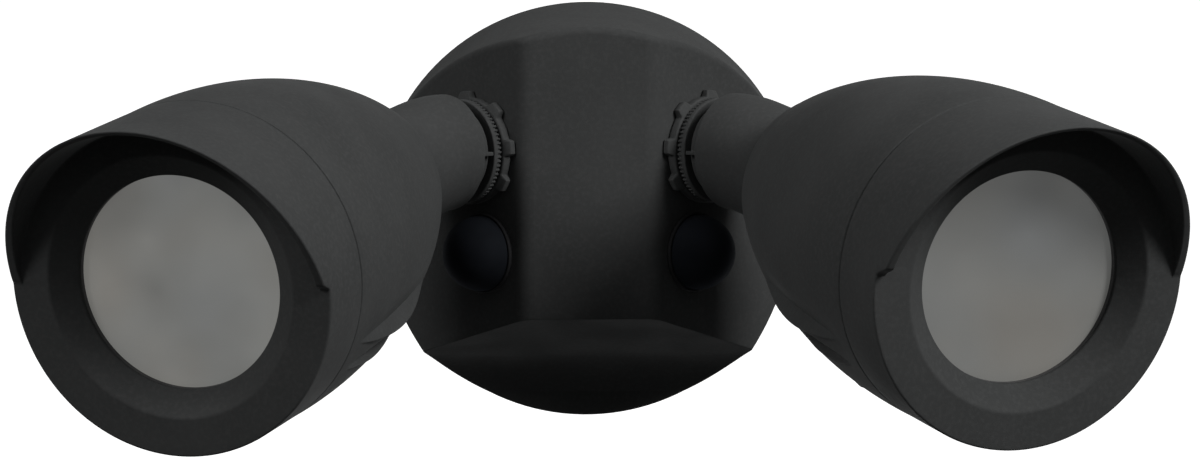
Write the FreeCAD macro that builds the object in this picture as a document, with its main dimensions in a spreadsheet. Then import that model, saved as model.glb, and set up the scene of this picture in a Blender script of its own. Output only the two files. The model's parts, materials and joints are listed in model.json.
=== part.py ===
import FreeCAD, Part
import math
import os
import Sketcher

os.makedirs("parts", exist_ok=True)
doc = FreeCAD.newDocument("security_light")

# Twin head security light. The wall is the plane y = 0, the front faces -Y and +Z is up.
# Lengths are in millimetres and angles in degrees.
VALUES = {
    # canopy on the wall
    "canopy_radius": 60.3,
    "cheek_rim_depth": 3.9,
    "canopy_draft": 0.04,
    "canopy_wall": 2.5,
    "prow_lean": 8.0,
    "band_half_width": 18.2,
    "band_edge_radius": 7.0,
    "cheek_angle": 45.0,
    "rim_edge_radius": 2.0,
    "rim_wall": 3.3,
    "flange_depth": 6.5,
    "flange_wall": 1.8,
    "chin_slope": 0.6,
    "chin_break_depth": 20.0,
    "chin_break_height": 38.0,
    "chin_foot_height": 53.0,
    "chin_hollow": 1.6,
    "gasket_thickness": 1.5,
    "gasket_width": 2.9,
    "gasket_inset": 0.4,
    # mounting strap behind it
    "strap_width": 18.0,
    "strap_thickness": 2.0,
    "strap_ear_depth": 4.5,
    "strap_ear_width": 12.0,
    "strap_clearance": 0.3,
    "box_screw_spacing": 79.4,
    "box_slot_width": 4.6,
    "box_slot_length": 14.2,
    "canopy_screw_radius": 1.3,
    "canopy_screw_length": 6.5,
    # swivel on each cheek
    "swivel_along": 19.2,
    "swivel_height": 18.7,
    "stem_radius": 8.5,
    "stem_bore_radius": 5.5,
    "running_clearance": 0.05,
    "stem_grip": 6.0,
    "spigot_wall": 2.2,
    "spigot_height": 3.0,
    "boss_radius": 12.0,
    "boss_depth": 8.0,
    "lock_ring_radius": 14.0,
    "lock_ring_lift": 0.3,
    "lock_ring_height": 2.5,
    "lug_radius": 16.6,
    "lug_width": 4.6,
    "lug_height": 1.7,
    "lug_pitch": 36.0,
    "first_lug_angle": 115.0,
    "collar_radius": 13.4,
    "collar_height": 3.6,
    "tooth_depth": 0.4,
    "tooth_width": 0.7,
    "tooth_height": 1.2,
    "seal_thickness": 0.6,
    "groove_radius": 12.4,
    "groove_height": 3.2,
    "rib_width": 1.0,
    "arm_radius": 16.0,
    "arm_edge": 1.5,
    "arm_reach": 44.5,
    "arm_bend": 16.2,
    "arm_bend_radius": 30.0,
    "washer_thickness": 0.8,
    "nut_width": 22.0,
    "nut_height": 5.0,
    # tilt knuckle between arm and head
    "socket_clearance": 0.3,
    "tilt_up": 15.0,
    "tilt_down": 30.0,
    "tilt_spare": 2.0,
    "tongue_thickness": 6.4,
    "tongue_radius": 7.0,
    "pivot_radius": 2.6,
    "pivot_length": 27.0,
    # head
    "head_pan": 19.9,
    "head_tilt": 0.4,
    "head_length": 112.0,
    "head_seam_radius": 41.4,
    "shroud_taper": 0.2,
    "head_rear_radius": 25.0,
    "head_bulge": 5.6,
    "head_wall": 2.6,
    "shroud_length": 18.0,
    "seam_gap": 0.5,
    "spigot_length": 8.0,
    "spigot_fit": 0.1,
    "ledge_width": 1.3,
    "visor_reach": 17.5,
    "visor_step": 1.0,
    "bezel_radius": 31.7,
    "bezel_thickness": 2.4,
    "lens_opening_radius": 26.0,
    "lens_recess": 5.1,
    "lip_thickness": 0.9,
    "lens_radius": 29.6,
    "lens_fit": 0.2,
    "lens_thickness": 2.6,
    "lens_gasket_thickness": 1.2,
    "reflector_depth": 14.0,
    "reflector_throat_radius": 9.5,
    "reflector_wall": 1.2,
    "led_board_radius": 22.0,
    "led_board_thickness": 1.6,
    "led_size": 3.0,
    "led_height": 0.8,
    "led_pitch": 4.6,
    "spreader_thickness": 3.0,
    "fin_height": 2.4,
    "fin_thickness": 1.8,
    "fin_start": 52.0,
    "fin_end": 102.0,
    "fin_pitch": 22.0,
    # sensor domes
    "sensor_along": 15.4,
    "sensor_drop": 9.6,
    "dome_radius": 10.4,
    "dome_stub": 1.6,
    "dome_wall": 1.2,
    "dome_fit": 0.15,
    "dome_flange_width": 1.4,
    "dome_flange_thickness": 1.2,
    "dome_skirt": 5.0,
    "sensor_bezel_radius": 11.1,
    "sensor_bezel_height": 1.2,
    "sensor_can_radius": 4.6,
    "sensor_can_height": 4.2,
    "sensor_board_thickness": 1.6,
    # electronics
    "driver_width": 22.0,
    "driver_thickness": 16.0,
    "driver_length": 42.0,
    "driver_low": 12.0,
    "control_board_thickness": 1.6,
    "relay_width": 13.0,
    "relay_height": 9.0,
    "relay_length": 16.0,
}
LUGS = 7
TEETH = 72
SIDE_FINS = 3
LEDS_PER_ROW = 3

sheet = doc.addObject("Spreadsheet::Sheet", "Sizes")
for row, (alias, number) in enumerate(VALUES.items(), start=1):
    sheet.set(f"A{row}", alias.replace("_", " "))
    sheet.set(f"B{row}", str(number))
    sheet.setAlias(f"B{row}", alias)
doc.recompute()


class Size:
    """A number together with the sheet expression that gives it."""

    def __init__(self, value, text):
        self.value = value
        self.text = text

    def __add__(self, other):
        other = size(other)
        return Size(self.value + other.value, f"({self.text} + {other.text})")

    def __sub__(self, other):
        other = size(other)
        return Size(self.value - other.value, f"({self.text} - {other.text})")

    def __mul__(self, other):
        other = size(other)
        return Size(self.value * other.value, f"({self.text} * {other.text})")

    def __truediv__(self, other):
        other = size(other)
        return Size(self.value / other.value, f"({self.text} / {other.text})")

    def __neg__(self):
        return Size(-self.value, f"(0 - {self.text})")

    def __radd__(self, other):
        return size(other) + self

    def __rsub__(self, other):
        return size(other) - self

    def __rmul__(self, other):
        return size(other) * self


def size(item):
    """The named size of the sheet, or a plain number as a size."""
    if isinstance(item, Size):
        return item
    if isinstance(item, str):
        return Size(float(VALUES[item]), f"Sizes.{item}")
    return Size(float(item), repr(float(item)))


def root(item):
    return Size(math.sqrt(item.value), f"sqrt({item.text})")


def cosine(item):
    return Size(math.cos(math.radians(item.value)), f"cos({item.text} * 1 deg)")


def sine(item):
    return Size(math.sin(math.radians(item.value)), f"sin({item.text} * 1 deg)")


def tangent(item):
    return Size(math.tan(math.radians(item.value)), f"tan({item.text} * 1 deg)")


def bind(feature, prop, item):
    item = size(item)
    setattr(feature, prop, item.value)
    if "Sizes." in item.text:
        feature.setExpression(prop, item.text)


def origin_feature(body, role):
    return next(item for item in body.Origin.OriginFeatures if item.Role == role)


def new_body(name):
    return doc.addObject("PartDesign::Body", name)


def new_sketch(body, name, role):
    sketch = body.newObject("Sketcher::SketchObject", name)
    sketch.AttachmentSupport = [(origin_feature(body, role), "")]
    sketch.MapMode = "FlatFace"
    return sketch


def fix_distance(sketch, kind, geometry, end, item):
    """Holds one coordinate of a point, measured from the sketch's origin."""
    if abs(item.value) < 1e-9:
        axis = -2 if kind == "DistanceX" else -1
        sketch.addConstraint(Sketcher.Constraint("PointOnObject", geometry, end, axis))
        return
    index = sketch.addConstraint(Sketcher.Constraint(kind, -1, 1, geometry, end, item.value))
    if "Sizes." in item.text:
        sketch.setExpression(f"Constraints[{index}]", item.text)


def closed_profile(sketch, points):
    """Closed outline through (x, y) or (x, y, rise) points. A rise bends the next edge to an arc
    that swells to the right of its direction of travel."""
    corners = [(size(p[0]), size(p[1]), size(p[2]) if len(p) > 2 else None) for p in points]
    ends = []
    for index, (x0, y0, rise) in enumerate(corners):
        x1, y1, _ = corners[(index + 1) % len(corners)]
        start = FreeCAD.Vector(x0.value, y0.value, 0)
        stop = FreeCAD.Vector(x1.value, y1.value, 0)
        if rise is None:
            ends.append((sketch.addGeometry(Part.LineSegment(start, stop), False), 1, 2))
            continue
        run = stop - start
        side = FreeCAD.Vector(run.y, -run.x, 0).normalize()
        middle = (start + stop) * 0.5 + side * rise.value
        arc = sketch.addGeometry(Part.Arc(start, middle, stop), False)
        forward = (sketch.getPoint(arc, 1) - start).Length < (sketch.getPoint(arc, 2) - start).Length
        ends.append((arc, 1, 2) if forward else (arc, 2, 1))
        if 2 * abs(rise.value) > run.Length - 1e-6:
            across = abs(run.x) > abs(run.y)
            centre = (y0 + y1) / 2 if across else (x0 + x1) / 2
            fix_distance(sketch, "DistanceY" if across else "DistanceX", arc, 3, centre)
            continue
        chord = (x1 - x0) * (x1 - x0) + (y1 - y0) * (y1 - y0)
        tall = rise if rise.value > 0 else -rise
        radius = (chord / 4 + rise * rise) / (tall * 2)
        held = sketch.addConstraint(Sketcher.Constraint("Radius", arc, radius.value))
        if "Sizes." in radius.text:
            sketch.setExpression(f"Constraints[{held}]", radius.text)
    for index, (geometry, first, last) in enumerate(ends):
        following, start_end, _ = ends[(index + 1) % len(ends)]
        sketch.addConstraint(Sketcher.Constraint("Coincident", geometry, last, following, start_end))
        fix_distance(sketch, "DistanceX", geometry, first, corners[index][0])
        fix_distance(sketch, "DistanceY", geometry, first, corners[index][1])


def circle(sketch, x, y, radius):
    x, y, radius = size(x), size(y), size(radius)
    spot = FreeCAD.Vector(x.value, y.value, 0)
    shape = sketch.addGeometry(Part.Circle(spot, FreeCAD.Vector(0, 0, 1), radius.value), False)
    held = sketch.addConstraint(Sketcher.Constraint("Radius", shape, radius.value))
    if "Sizes." in radius.text:
        sketch.setExpression(f"Constraints[{held}]", radius.text)
    fix_distance(sketch, "DistanceX", shape, 3, x)
    fix_distance(sketch, "DistanceY", shape, 3, y)


def revolve(name, points, role="XZ_Plane"):
    """Body of revolution about the sketch's vertical axis."""
    body = new_body(name)
    sketch = new_sketch(body, name + "_profile", role)
    closed_profile(sketch, points)
    feature = body.newObject("PartDesign::Revolution", name + "_turned")
    feature.Profile = sketch
    feature.ReferenceAxis = (sketch, ["V_Axis"])
    feature.Angle = 360.0
    doc.recompute()
    return body


def pocket(body, name, role, draw, length=400.0, lean=None):
    """Cuts the outline that draw adds to a sketch, both ways, and checks that it takes material away."""
    sketch = new_sketch(body, name + "_outline", role)
    if lean is not None:
        turn = FreeCAD.Rotation(FreeCAD.Vector(1, 0, 0), lean.value)
        sketch.AttachmentOffset = FreeCAD.Placement(FreeCAD.Vector(), turn)
        sketch.setExpression(".AttachmentOffset.Rotation.Angle", f"{lean.text} * 1 deg")
    draw(sketch)
    before = body.Shape.Volume
    feature = body.newObject("PartDesign::Pocket", name)
    feature.Profile = sketch
    feature.Type = "Length"
    feature.SideType = "Symmetric"
    bind(feature, "Length", length)
    doc.recompute()
    if body.Shape.Volume >= before - 1e-6:
        raise RuntimeError(f"{name} cuts nothing")
    return feature


def pad(body, name, role, draw, length, offset=None, symmetric=True):
    """Pads the outline that draw adds to a sketch."""
    sketch = new_sketch(body, name + "_outline", role)
    if offset is not None:
        offset = size(offset)
        sketch.AttachmentOffset = FreeCAD.Placement(FreeCAD.Vector(0, 0, offset.value), FreeCAD.Rotation())
        sketch.setExpression(".AttachmentOffset.Base.z", offset.text)
    draw(sketch)
    feature = body.newObject("PartDesign::Pad", name)
    feature.Profile = sketch
    feature.Type = "Length"
    feature.SideType = "Symmetric" if symmetric else "One side"
    bind(feature, "Length", length)
    doc.recompute()
    return feature


def polar(body, name, feature, count, turn, backward=False):
    """Repeats a feature about the body's Z axis, over the angle between first and last copy."""
    pattern = body.newObject("PartDesign::PolarPattern", name)
    pattern.Originals = [feature]
    pattern.Axis = (origin_feature(body, "Z_Axis"), [""])
    pattern.Reversed = backward
    bind(pattern, "Angle", turn)
    pattern.Occurrences = count
    body.Tip = pattern
    doc.recompute()
    return pattern


def fused(name, shapes):
    feature = doc.addObject("Part::MultiFuse", name)
    feature.Shapes = shapes
    feature.Refine = True
    doc.recompute()
    return feature


def cut(name, base, tool):
    feature = doc.addObject("Part::Cut", name)
    feature.Base = base
    feature.Tool = tool
    feature.Refine = True
    doc.recompute()
    if feature.Shape.Volume >= base.Shape.Volume - 1e-6:
        raise RuntimeError(f"{name} cuts nothing")
    return feature


def rod(name, radius, low, high, frame=None):
    """Cylinder along local Z from low to high, set in a frame."""
    low, high = size(low), size(high)
    feature = doc.addObject("Part::Cylinder", name)
    bind(feature, "Radius", radius)
    bind(feature, "Height", high - low)
    place = FreeCAD.Placement(FreeCAD.Vector(0, 0, low.value), FreeCAD.Rotation())
    feature.Placement = frame.multiply(place) if frame else place
    return feature


def block(name, length, width, height, corner, frame=None):
    """Box with its low corner at the corner point, set in a frame."""
    feature = doc.addObject("Part::Box", name)
    bind(feature, "Length", length)
    bind(feature, "Width", width)
    bind(feature, "Height", height)
    place = FreeCAD.Placement(FreeCAD.Vector(*[size(item).value for item in corner]), FreeCAD.Rotation())
    feature.Placement = frame.multiply(place) if frame else place
    return feature


nodes = []


def keep(feature, label, placement=None):
    """Marks a finished piece and gives it its name and place."""
    feature.Label = label
    if placement is not None:
        feature.Placement = placement
    nodes.append(feature)
    return feature


def frame_along(base, forward):
    """Frame whose Z looks along forward and whose Y looks up as far as it can."""
    up = FreeCAD.Vector(0, 0, 1)
    up = (up - forward * up.dot(forward)).normalize()
    return FreeCAD.Placement(base, FreeCAD.Rotation(up.cross(forward), up, forward, "ZYX"))


# Where the swivel, the sensor and the head of one side sit. The side is -1 for left and 1 for right.
cheek = math.radians(VALUES["cheek_angle"])
prow = FreeCAD.Placement(FreeCAD.Vector(), FreeCAD.Rotation(FreeCAD.Vector(1, 0, 0), -VALUES["prow_lean"]))


def canopy_depth():
    """Depth of the band in front of the wall, which lets the cheeks reach the rim."""
    cheek_width = size("canopy_radius") - size("band_half_width")
    return size("cheek_rim_depth") + cheek_width * tangent(size("cheek_angle"))


def cheek_frame(side, along, height):
    """Frame on a cheek, at a distance along it from the band's edge, with Z out of the cheek."""
    x = VALUES["band_half_width"] + along * math.cos(cheek)
    y = -canopy_depth().value + along * math.sin(cheek)
    normal = FreeCAD.Vector(side * math.sin(cheek), -math.cos(cheek), 0)
    return prow.multiply(frame_along(FreeCAD.Vector(side * x, y, height), normal))


def swivel_frame(side):
    return cheek_frame(side, VALUES["swivel_along"], VALUES["swivel_height"])


def sensor_frame(side):
    return cheek_frame(side, VALUES["sensor_along"], -VALUES["sensor_drop"])


def collar_low():
    return size("spigot_height") + 0.1


def groove_top():
    """Height over the cheek at which the arm's own tube starts."""
    return collar_low() + size("collar_height") + size("groove_height")


def bend_start():
    return groove_top() + size("arm_edge")


def tube_length():
    """Straight part of the arm, from its bend to the tilt pivot."""
    run = size("arm_reach") - bend_start() - size("arm_bend_radius") * sine(size("arm_bend"))
    return run / cosine(size("arm_bend"))


def pivot_drop():
    """How far the arm's bend brings the tilt pivot below the swivel's axis."""
    bent = size("arm_bend_radius") * (1 - cosine(size("arm_bend")))
    return bent + tube_length() * sine(size("arm_bend"))


def head_front_radius():
    return size("head_seam_radius") - size("shroud_taper")


def head_frame(side):
    """Origin in the middle of the head's front face, Z forward."""
    pan, tilt = math.radians(VALUES["head_pan"]), math.radians(VALUES["head_tilt"])
    level = FreeCAD.Vector(side * math.sin(pan), -math.cos(pan), 0)
    forward = level * math.cos(tilt) - FreeCAD.Vector(0, 0, math.sin(tilt))
    pivot = swivel_frame(side).multVec(FreeCAD.Vector(0, -pivot_drop().value, VALUES["arm_reach"]))
    return frame_along(pivot + forward * VALUES["head_length"], forward)


def canopy_shell(name, inset):
    """Drum cut to a leaning flat band, two slanting cheeks and a coved chin, drawn in by an inset."""
    radius = size("canopy_radius")
    back = -size("gasket_thickness")
    outside = inset.value == 0
    wide = radius if outside else radius - size("rim_wall")
    far = radius + 20
    front = -canopy_depth() - 40
    points = [(0, back), (wide, back), (wide + size("canopy_draft") * front, front), (0, front)]
    body = revolve(name, points, "XY_Plane")
    depth = canopy_depth() - inset
    half = size("band_half_width") - inset * tangent(size("cheek_angle") / 2)
    side_depth = depth - (far - half) * tangent(size("cheek_angle"))

    def cheeks(sketch):
        points = [(-far, front * 2), (far, front * 2), (far, -side_depth), (half, -depth)]
        points += [(-half, -depth), (-far, -side_depth)]
        closed_profile(sketch, points)

    pocket(body, name + "_cheeks", "XY_Plane", cheeks, lean=-size("prow_lean"))
    if outside:
        soften(body, name + "_band_edges", "band_edge_radius", upright_edges)
        soften(body, name + "_rim", "rim_edge_radius", rim_edges)

    slope = size("chin_slope")
    raised = inset * root(slope * slope + 1)
    break_depth = size("chin_break_depth")
    break_height = size("chin_break_height") - raised
    foot = size("flange_depth") if outside else size("flange_depth") - size("flange_wall")
    foot_height = size("chin_foot_height") - inset * 1.4
    nose = -(break_height + slope * (front + break_depth))
    low = -radius - 40

    def chin(sketch):
        points = [(front, nose), (-break_depth, -break_height, -size("chin_hollow"))]
        points += [(-foot, -foot_height), (-foot, low), (front, low)]
        closed_profile(sketch, points)

    pocket(body, name + "_chin", "YZ_Plane", chin)
    return body


def upright_edges(shape):
    """The two edges between the band and the cheeks."""
    return [k for k, edge in enumerate(shape.Edges, start=1)
            if isinstance(edge.Curve, Part.Line) and abs(edge.tangentAt(edge.FirstParameter).z) > 0.9]


def rim_edges(shape):
    """The edges where the prow meets the round side of the drum."""
    found = []
    for k, edge in enumerate(shape.Edges, start=1):
        middle = edge.valueAt((edge.FirstParameter + edge.LastParameter) / 2)
        if not isinstance(edge.Curve, Part.Line) and middle.y < -VALUES["gasket_thickness"] - 1:
            if math.hypot(middle.x, middle.z) > VALUES["canopy_radius"] * 0.9:
                found.append(k)
    return found


def soften(body, name, radius, choose):
    """Rounds the edges that choose picks by their place."""
    base = body.Tip
    edges = choose(base.Shape)
    fillet = body.newObject("PartDesign::Fillet", name)
    fillet.Base = (base, [f"Edge{k}" for k in edges])
    bind(fillet, "Radius", radius)
    doc.recompute()


def build_canopy():
    outer = canopy_shell("canopy_outer", size(0))
    inner = canopy_shell("canopy_inner", size("canopy_wall"))
    shell = cut("canopy_hollow", outer, inner)
    added, removed = [], []
    stem = size("stem_radius") + size("running_clearance")
    spigot, half_wall = stem + size("spigot_wall"), size("canopy_wall") / 2
    for side, word in ((-1, "left"), (1, "right")):
        frame = swivel_frame(side)
        added.append(rod(f"boss_{word}", "boss_radius", -size("boss_depth"), -half_wall, frame))
        added.append(rod(f"spigot_{word}", spigot, -half_wall, "spigot_height", frame))
        removed.append(rod(f"stem_hole_{word}", stem, -size("boss_depth") - 20, 5 + size("spigot_height"), frame))
        hole = size("dome_radius") + size("dome_fit")
        removed.append(rod(f"dome_hole_{word}", hole, -size("canopy_wall") - 5, 5, sensor_frame(side)))
    rim = size("canopy_radius")
    removed.append(rod("screw_hole", "canopy_screw_radius", rim - 8, rim + 5, screw_frame()))
    doc.recompute()
    housing = cut("canopy_bored", fused("canopy_bossed", [shell] + added), fused("canopy_holes", removed))
    keep(housing, "canopy_housing")

    outside = size("canopy_radius") - size("gasket_inset")
    inside = outside - size("gasket_width")
    thick = size("gasket_thickness")
    outline = [(inside, 0), (outside, 0), (outside, -thick), (inside, -thick)]
    gasket = revolve("gasket_ring", outline, "XY_Plane")
    keep(gasket, "wall_gasket")


def screw_frame():
    """Frame of the screw under the canopy, Z pointing down out of the rim."""
    room = VALUES["gasket_thickness"] + VALUES["flange_depth"] - VALUES["flange_wall"]
    return FreeCAD.Placement(FreeCAD.Vector(0, -room / 2, 0), FreeCAD.Rotation(FreeCAD.Vector(0, 1, 0), 180))


def build_strap():
    body = new_body("strap_body")
    inside = size("canopy_radius") - size("rim_wall") - size("strap_clearance")
    thick = size("strap_thickness")

    def bar(sketch):
        half = size("strap_width") / 2
        top = inside - 1
        closed_profile(sketch, [(-half, -top), (half, -top), (half, top), (-half, top)])

    feature = pad(body, "strap_bar", "XZ_Plane", bar, thick, symmetric=False)

    def side_view(sketch):
        closed_profile(sketch, [
            (0, -inside), (-size("strap_ear_depth"), -inside),
            (-size("strap_ear_depth"), -inside + thick), (-thick, -inside + thick),
            (-thick, inside - thick), (-size("strap_ear_depth"), inside - thick),
            (-size("strap_ear_depth"), inside), (0, inside)])

    pad(body, "strap_ears", "YZ_Plane", side_view, "strap_ear_width")

    def slots(sketch):
        for way in (-1, 1):
            half = size("box_slot_width") / 2
            reach = size("box_slot_length") / 2 - half
            centre = size("box_screw_spacing") / 2 * way
            closed_profile(sketch, [
                (-half, centre - reach, half), (half, centre - reach),
                (half, centre + reach, half), (-half, centre + reach)])

    pocket(body, "strap_slots", "XZ_Plane", slots, 30)
    hole = rod("ear_hole", "canopy_screw_radius", inside - 6, inside + 3, screw_frame())
    keep(cut("strap_tapped", body, hole), "mounting_strap")
    end = size("canopy_radius") - size("gasket_inset")
    screw = rod("screw_shank", "canopy_screw_radius", end - size("canopy_screw_length"), end, screw_frame())
    keep(screw, "canopy_screw")


def build_electronics():
    """Driver against the inside of the band, with the control board on its back."""
    width, thick, length = size("driver_width"), size("driver_thickness"), size("driver_length")
    front = -(canopy_depth() - size("canopy_wall"))
    low = -size("driver_low")
    driver = block("driver_box", width, thick, length, (-width / 2, front, low), prow)
    keep(driver, "led_driver")
    plate = size("control_board_thickness")
    board = block("board_plate", width, plate, length, (-width / 2, front + thick, low), prow)
    wide, tall = size("relay_width"), size("relay_length")
    relay = block("board_relay", wide, "relay_height", tall,
                  (-wide / 2, front + thick + plate, low + (length - tall) / 2), prow)
    doc.recompute()
    keep(fused("board_fused", [board, relay]), "control_board")


def cap_rise(radius, height):
    """How far half of a round cap's outline swells out of its chord."""
    chord = radius * radius + height * height
    ball = chord / (height * 2)
    return ball - root(ball * ball - chord / 4)


def build_sensor(side, word):
    frame = sensor_frame(side)
    radius, wall = size("dome_radius"), size("dome_wall")
    stub, skirt = size("dome_stub"), size("dome_skirt")
    under = -size("canopy_wall")
    flange = radius + size("dome_flange_width")
    low = under - size("dome_flange_thickness")
    inner = radius - wall
    lens = revolve(f"dome_{word}", [
        (inner, low - skirt), (radius, low - skirt), (radius, low), (flange, low), (flange, under),
        (radius, under), (radius, stub, cap_rise(radius, radius)), (0, stub + radius),
        (0, stub + inner, -cap_rise(inner, inner)), (inner, stub)])
    keep(lens, f"sensor_lens_{word}", frame)
    near, far = radius + size("dome_fit"), size("sensor_bezel_radius")
    top = size("sensor_bezel_height")
    edge = (far - near) / 2
    bezel = revolve(f"bezel_{word}", [(near, 0), (far, 0), (far, top - edge), (far - edge, top), (near, top)])
    keep(bezel, f"sensor_bezel_{word}", frame)
    base = low - skirt
    board = rod(f"sensor_plate_{word}", radius, base - size("sensor_board_thickness"), base, frame)
    keep(board, f"sensor_board_{word}")
    can = rod(f"sensor_can_{word}", "sensor_can_radius", base, base + size("sensor_can_height"), frame)
    keep(can, f"pir_sensor_{word}")


def build_lock_ring(side, word):
    """Ring with finger lugs. It turns on the spigot under the arm's collar."""
    low = size("lock_ring_lift")
    high = low + size("lock_ring_height")
    inner = size("stem_radius") + size("running_clearance") * 2 + size("spigot_wall")
    outer = size("lock_ring_radius")
    body = revolve(f"lock_turned_{word}", [
        (inner, low), (outer, low), (outer, high - 0.5), (outer - 0.5, high), (inner, high)])
    wide = size("lug_width") / 2

    def lug(sketch):
        closed_profile(sketch, [(-wide, outer - 1), (wide, outer - 1), (wide * 0.8, "lug_radius"),
                                (-wide * 0.8, "lug_radius")])

    feature = pad(body, f"lug_{word}", "XY_Plane", lug, "lug_height", offset=low, symmetric=False)
    polar(body, f"lugs_{word}", feature, LUGS, size("lug_pitch") * (LUGS - 1), backward=side > 0)
    turn = FreeCAD.Rotation(FreeCAD.Vector(0, 0, 1), side * VALUES["first_lug_angle"])
    keep(body, f"lock_ring_{word}", swivel_frame(side).multiply(FreeCAD.Placement(FreeCAD.Vector(), turn)))


def build_collar(side, word):
    """Collar under the arm, with a ring of fine teeth next to the lock ring."""
    low = collar_low()
    high = low + size("collar_height")
    neck = size("stem_radius") + size("spigot_wall")
    outer = size("collar_radius")
    body = revolve(f"collar_turned_{word}", [
        (neck, low), (outer, low), (outer, high - 0.4), (outer - 0.4, high), (neck, high)])
    half = size("tooth_width") / 2
    tip = outer + size("tooth_depth")

    def tooth(sketch):
        closed_profile(sketch, [(outer - 1, -half), (tip, -half / 2), (tip, half / 2), (outer - 1, half)])

    feature = pad(body, f"tooth_{word}", "XY_Plane", tooth, "tooth_height", offset=low, symmetric=False)
    polar(body, f"teeth_{word}", feature, TEETH, 360.0)
    keep(body, f"index_collar_{word}", swivel_frame(side))


def build_elbow(word, frame):
    """Bend, straight tube and the ball at its end, which the head's socket holds."""
    radius, bend, turn_radius = size("arm_radius"), size("arm_bend"), size("arm_bend_radius")
    elbow = new_body(f"elbow_{word}")
    sketch = new_sketch(elbow, f"elbow_ring_{word}", "XY_Plane")
    circle(sketch, 0, turn_radius, radius)
    feature = elbow.newObject("PartDesign::Revolution", f"elbow_turned_{word}")
    feature.Profile = sketch
    feature.ReferenceAxis = (sketch, ["H_Axis"])
    bind(feature, "Angle", bend)
    doc.recompute()
    centre = FreeCAD.Vector(0, -turn_radius.value, bend_start().value)
    elbow.Placement = frame.multiply(FreeCAD.Placement(centre, FreeCAD.Rotation()))
    lowered = FreeCAD.Rotation(FreeCAD.Vector(1, 0, 0), bend.value)
    pivot = FreeCAD.Placement(FreeCAD.Vector(0, -pivot_drop().value, VALUES["arm_reach"]), lowered)
    tube = rod(f"tube_{word}", radius, -tube_length(), 0, frame.multiply(pivot))
    ball = doc.addObject("Part::Sphere", f"half_ball_{word}")
    bind(ball, "Radius", radius)
    ball.Angle1, ball.Angle2 = 0, 90
    ball.Placement = frame.multiply(pivot)
    return [elbow, tube, ball]


def build_tongue_slot(knuckle, word):
    """Room in the ball for the head's tongue over its whole tilt."""
    slot = new_body(f"ball_slot_{word}")
    gap = size("tongue_thickness") + size("socket_clearance") * 2
    round_end = size("tongue_radius") + size("socket_clearance") * 2
    up, down = size("tilt_up") + size("tilt_spare"), size("tilt_down") + size("tilt_spare")
    run = size("arm_radius") * 1.5

    def swept(sketch):
        low_y, low_z = -round_end * cosine(down), -round_end * sine(down)
        high_y, high_z = round_end * cosine(up), -round_end * sine(up)
        closed_profile(sketch, [
            (low_y, low_z, round_end - round_end * sine((up + down) / 2)), (high_y, high_z),
            (high_y + run * sine(up), high_z + run * cosine(up)),
            (low_y - run * sine(down), low_z + run * cosine(down))])

    pad(slot, f"ball_slot_pad_{word}", "YZ_Plane", swept, gap)
    slot.Placement = knuckle
    return slot


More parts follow.
